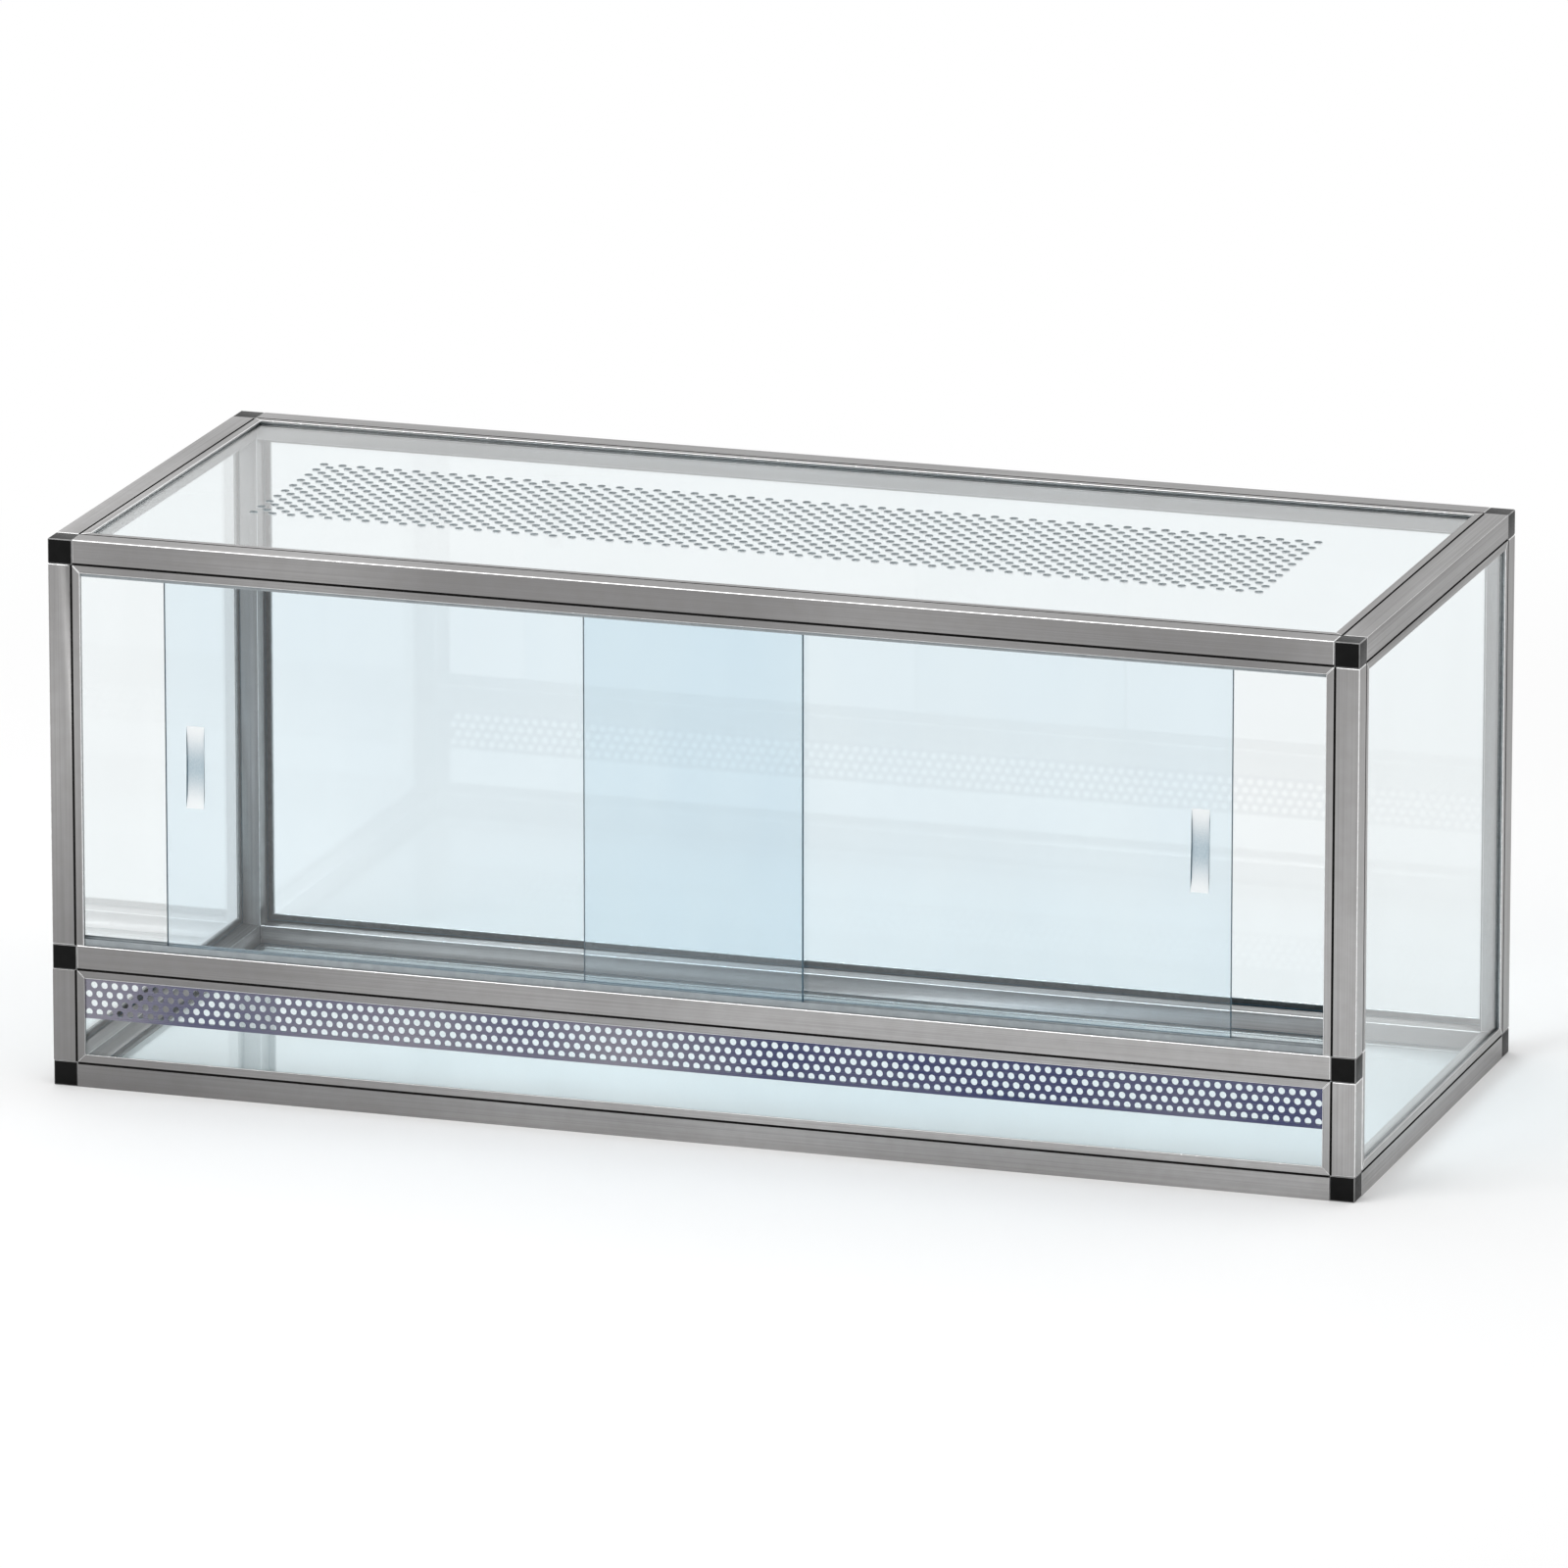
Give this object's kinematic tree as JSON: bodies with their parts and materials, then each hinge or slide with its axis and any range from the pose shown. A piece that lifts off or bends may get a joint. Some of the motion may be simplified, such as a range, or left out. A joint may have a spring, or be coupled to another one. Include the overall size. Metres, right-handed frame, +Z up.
{
  "type": "reptile terrarium",
  "caption": "Long glass terrarium in an aluminium frame with black corner connectors, sliding front doors, a perforated front vent strip and an air-hole band in the top pane.",
  "frame": {"origin": "centre of the footprint, on the floor", "axes": "+X to the right along the front, +Y from the front to the rear, +Z up"},
  "size_m": [1.2, 0.5, 0.5],
  "materials": {
    "profile": "natural anodised, fine extrusion lines",
    "connector": "black moulded, satin",
    "fixed_glass": "clear float glass, ground edges",
    "door_glass": "clear float glass, ground edges and finger pull",
    "seal": "grey glazing seal",
    "perforated_metal": "perforated sheet, mill finish",
    "track": "grey extruded plastic"
  },
  "bodies": {
    "frame": {"rail_front_bottom": "profile", "rail_front_mid": "profile", "rail_front_top": "profile", "rail_rear_bottom": "profile", "rail_rear_top": "profile", "rail_left_bottom": "profile", "rail_left_top": "profile", "rail_right_bottom": "profile", "rail_right_top": "profile", "post_front_left_lower": "profile", "post_front_left_upper": "profile", "post_front_right_lower": "profile", "post_front_right_upper": "profile", "post_rear_left": "profile", "post_rear_right": "profile", "corner_front_left_bottom": "connector", "corner_front_right_bottom": "connector", "corner_rear_left_bottom": "connector", "corner_rear_right_bottom": "connector", "corner_front_left_top": "connector", "corner_front_right_top": "connector", "corner_rear_left_top": "connector", "corner_rear_right_top": "connector", "tee_left": "connector", "tee_right": "connector", "pane_left": "fixed_glass", "pane_right": "fixed_glass", "pane_rear": "fixed_glass", "pane_bottom": "fixed_glass", "pane_top": "fixed_glass", "pane_front_lower": "fixed_glass", "seal_left": "seal", "seal_right": "seal", "seal_rear": "seal", "seal_bottom": "seal", "seal_top": "seal", "seal_front_lower": "seal", "vent_strip": "perforated_metal", "track_lower": "track", "track_upper": "track"},
    "left_door": {"door_left": "door_glass"},
    "right_door": {"door_right": "door_glass"}
  },
  "joints": [
    {"name": "left_door_slide", "type": "slide", "parent": "frame", "child": "left_door", "axis": [1, 0, 0], "range_m": [-0.0837, 0.4797]},
    {"name": "right_door_slide", "type": "slide", "parent": "frame", "child": "right_door", "axis": [1, 0, 0], "range_m": [-0.4707, 0.0927]}
  ]
}
